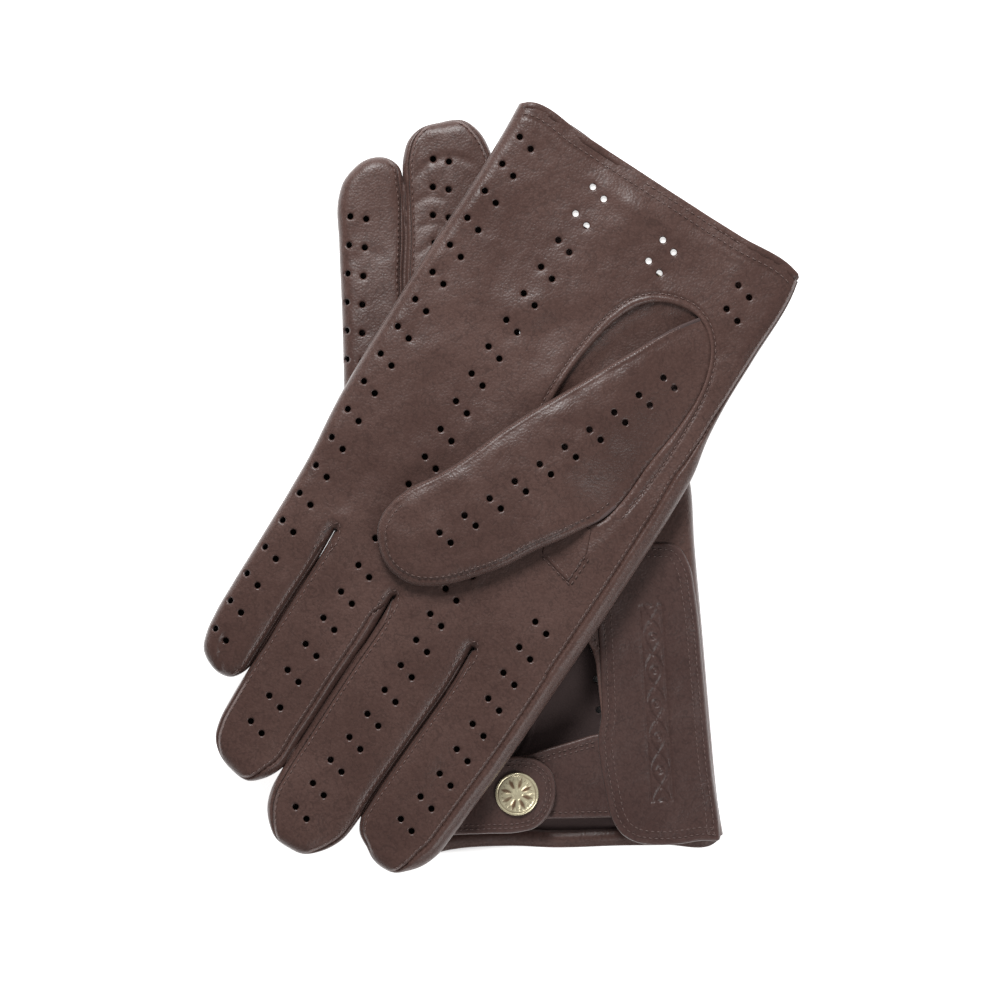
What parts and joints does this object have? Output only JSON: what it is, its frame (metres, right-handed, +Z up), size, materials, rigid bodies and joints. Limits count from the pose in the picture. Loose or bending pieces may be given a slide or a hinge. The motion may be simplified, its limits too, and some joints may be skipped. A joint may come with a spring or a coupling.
{
  "type": "pair of leather driving gloves",
  "caption": "Pair of unlined leather driving gloves laid crosswise, with punched palms, open wrist backs, snap straps and embossed cuff panels.",
  "frame": {"origin": "on the floor under the middle of the pair", "axes": "+Z up; +Y from the lower glove's cuff towards its fingertips"},
  "size_m": [0.1912, 0.2476, 0.0325],
  "materials": {
    "leather": "smooth glove leather, dark brown",
    "panel_leather": "the same leather, embossed",
    "thread": "tone-on-tone thread",
    "cap_metal": "antique pale brass",
    "snap_metal": "satin brass",
    "label": "woven, blank"
  },
  "bodies": {
    "right_hand": {"right_back": "leather", "right_back_hem": "leather", "right_cuff_panel": "panel_leather", "right_index_back": "leather", "right_index_fourchette_little_side": "leather", "right_index_front": "leather", "right_little_back": "leather", "right_little_fourchette_thumb_side": "leather", "right_little_front": "leather", "right_middle_back": "leather", "right_middle_fourchette_little_side": "leather", "right_middle_fourchette_thumb_side": "leather", "right_middle_front": "leather", "right_palm": "leather", "right_palm_hem": "leather", "right_ring_back": "leather", "right_ring_fourchette_little_side": "leather", "right_ring_fourchette_thumb_side": "leather", "right_ring_front": "leather", "right_size_label": "label", "right_snap_post": "snap_metal", "right_snap_stud": "snap_metal", "right_tab_root": "leather", "right_thumb_gusset": "leather", "right_thumb_quirk": "leather", "right_wrist_strap": "leather"},
    "right_thumb": {"right_thumb": "leather"},
    "right_snap_tab": {"right_snap_tab": "leather", "right_snap_socket": "snap_metal", "right_snap_cap": "cap_metal"},
    "left_hand": {"left_back": "leather", "left_back_hem": "leather", "left_cuff_panel": "panel_leather", "left_palm": "leather", "left_palm_hem": "leather", "left_size_label": "label", "left_snap_cap": "cap_metal", "left_snap_post": "snap_metal", "left_snap_socket": "snap_metal", "left_snap_stud": "snap_metal", "left_snap_tab": "leather", "left_thumb_gusset": "leather", "left_thumb_quirk": "leather", "left_wrist_strap": "leather"},
    "left_fingers": {"left_index_back": "leather", "left_index_fourchette_little_side": "leather", "left_index_front": "leather", "left_little_back": "leather", "left_little_fourchette_thumb_side": "leather", "left_little_front": "leather", "left_middle_back": "leather", "left_middle_fourchette_little_side": "leather", "left_middle_fourchette_thumb_side": "leather", "left_middle_front": "leather", "left_ring_back": "leather", "left_ring_fourchette_little_side": "leather", "left_ring_fourchette_thumb_side": "leather", "left_ring_front": "leather"},
    "left_thumb": {"left_thumb": "leather"}
  },
  "joints": [
    {"name": "left_glove_lift", "type": "slide", "parent": "right_hand", "child": "left_hand", "axis": [0, 0, 1], "range_m": [0, 0.12]},
    {"name": "left_fingers_curl", "type": "hinge", "parent": "left_hand", "child": "left_fingers", "pos_m": [-0.0312, -0.03147, 0.02463], "axis": [-0.841, 0.541, 0], "range_deg": [0, 75]},
    {"name": "left_thumb_swing", "type": "hinge", "parent": "left_hand", "child": "left_thumb", "pos_m": [0.06501, 0.03123, 0.02721], "axis": [0.5404, 0.8402, -0.0458], "range_deg": [0, 140]},
    {"name": "right_thumb_swing", "type": "hinge", "parent": "right_hand", "child": "right_thumb", "pos_m": [-0.02938, -0.07625, 0.00109], "axis": [-0.1068, 0.993, 0.0506], "range_deg": [0, 168]},
    {"name": "right_snap_tab_open", "type": "hinge", "parent": "right_hand", "child": "right_snap_tab", "pos_m": [-0.00271, -0.09377, 0.01166], "axis": [-0.5872, -0.8094, 0], "range_deg": [0, 30]}
  ]
}
